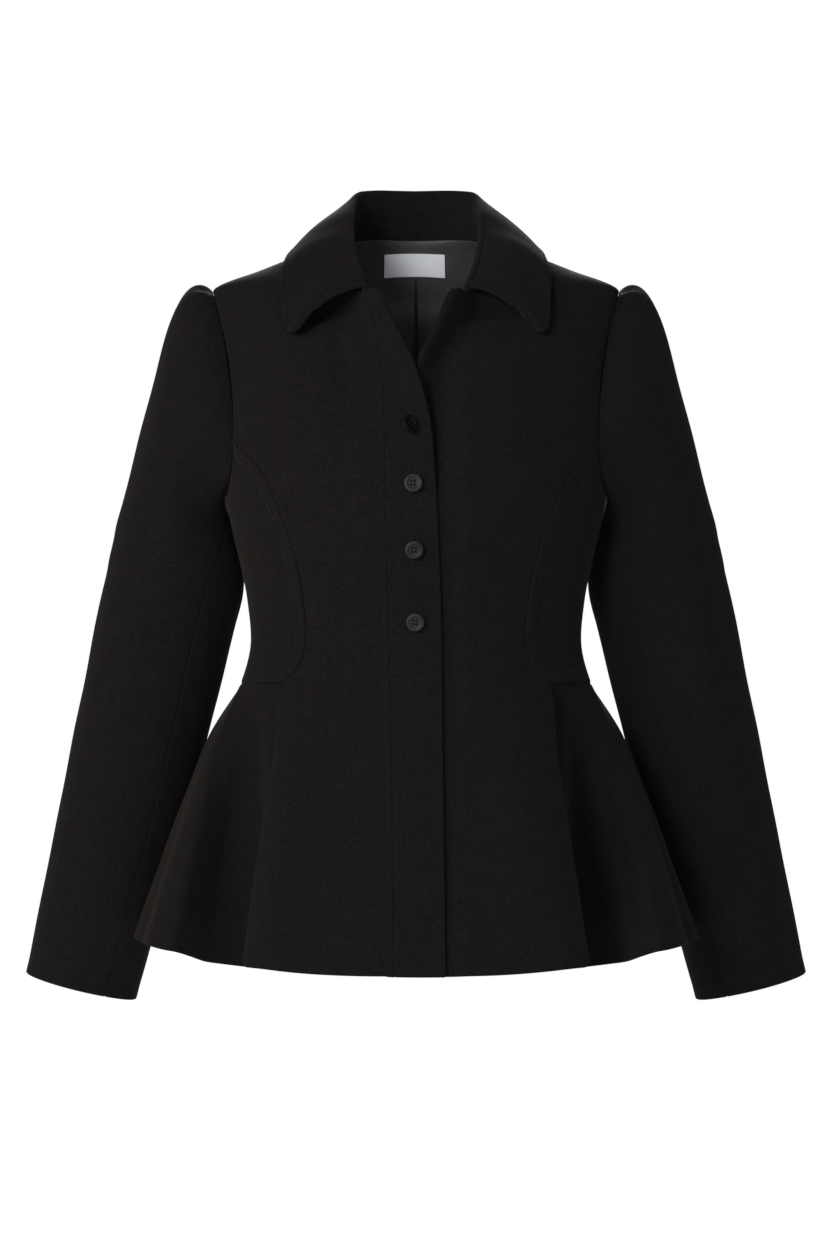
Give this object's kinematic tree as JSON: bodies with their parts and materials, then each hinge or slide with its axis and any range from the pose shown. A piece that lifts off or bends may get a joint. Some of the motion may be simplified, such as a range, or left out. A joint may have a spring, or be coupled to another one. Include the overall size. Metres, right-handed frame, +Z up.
{
  "type": "riding jacket",
  "caption": "Fitted wool riding jacket with a small collar, buttoned front, curved side panels, puffed sleeve heads and a flared peplum, filled out and hollow.",
  "frame": {"origin": "between the wearer's shoulders, at the height where the neck edge meets the shoulder seams", "axes": "+X to the wearer's left, +Y to the wearer's back, +Z up"},
  "size_m": [0.6994, 0.343, 0.7246],
  "materials": {
    "wool": "felted wool coating, brown-black, matt with a short nap",
    "satin": "grey lining satin with a soft sheen",
    "label_cloth": "bare pale woven label",
    "button": "dark grey horn-like plastic, half gloss"
  },
  "bodies": {
    "root": {"front_right": "wool", "front_left": "wool", "back": "wool", "placket": "wool", "side_panel_left": "wool", "side_panel_right": "wool", "side_edging_left": "wool", "side_edging_right": "wool", "peplum_left": "wool", "peplum_right": "wool", "sleeve_upper_left": "wool", "sleeve_upper_right": "wool", "sleeve_under_left": "wool", "sleeve_under_right": "wool", "collar_stand": "wool", "collar_fall": "wool", "lining_back": "satin", "label": "label_cloth", "button_1": "button", "button_2": "button", "button_3": "button", "button_4": "button"}
  },
  "joints": []
}
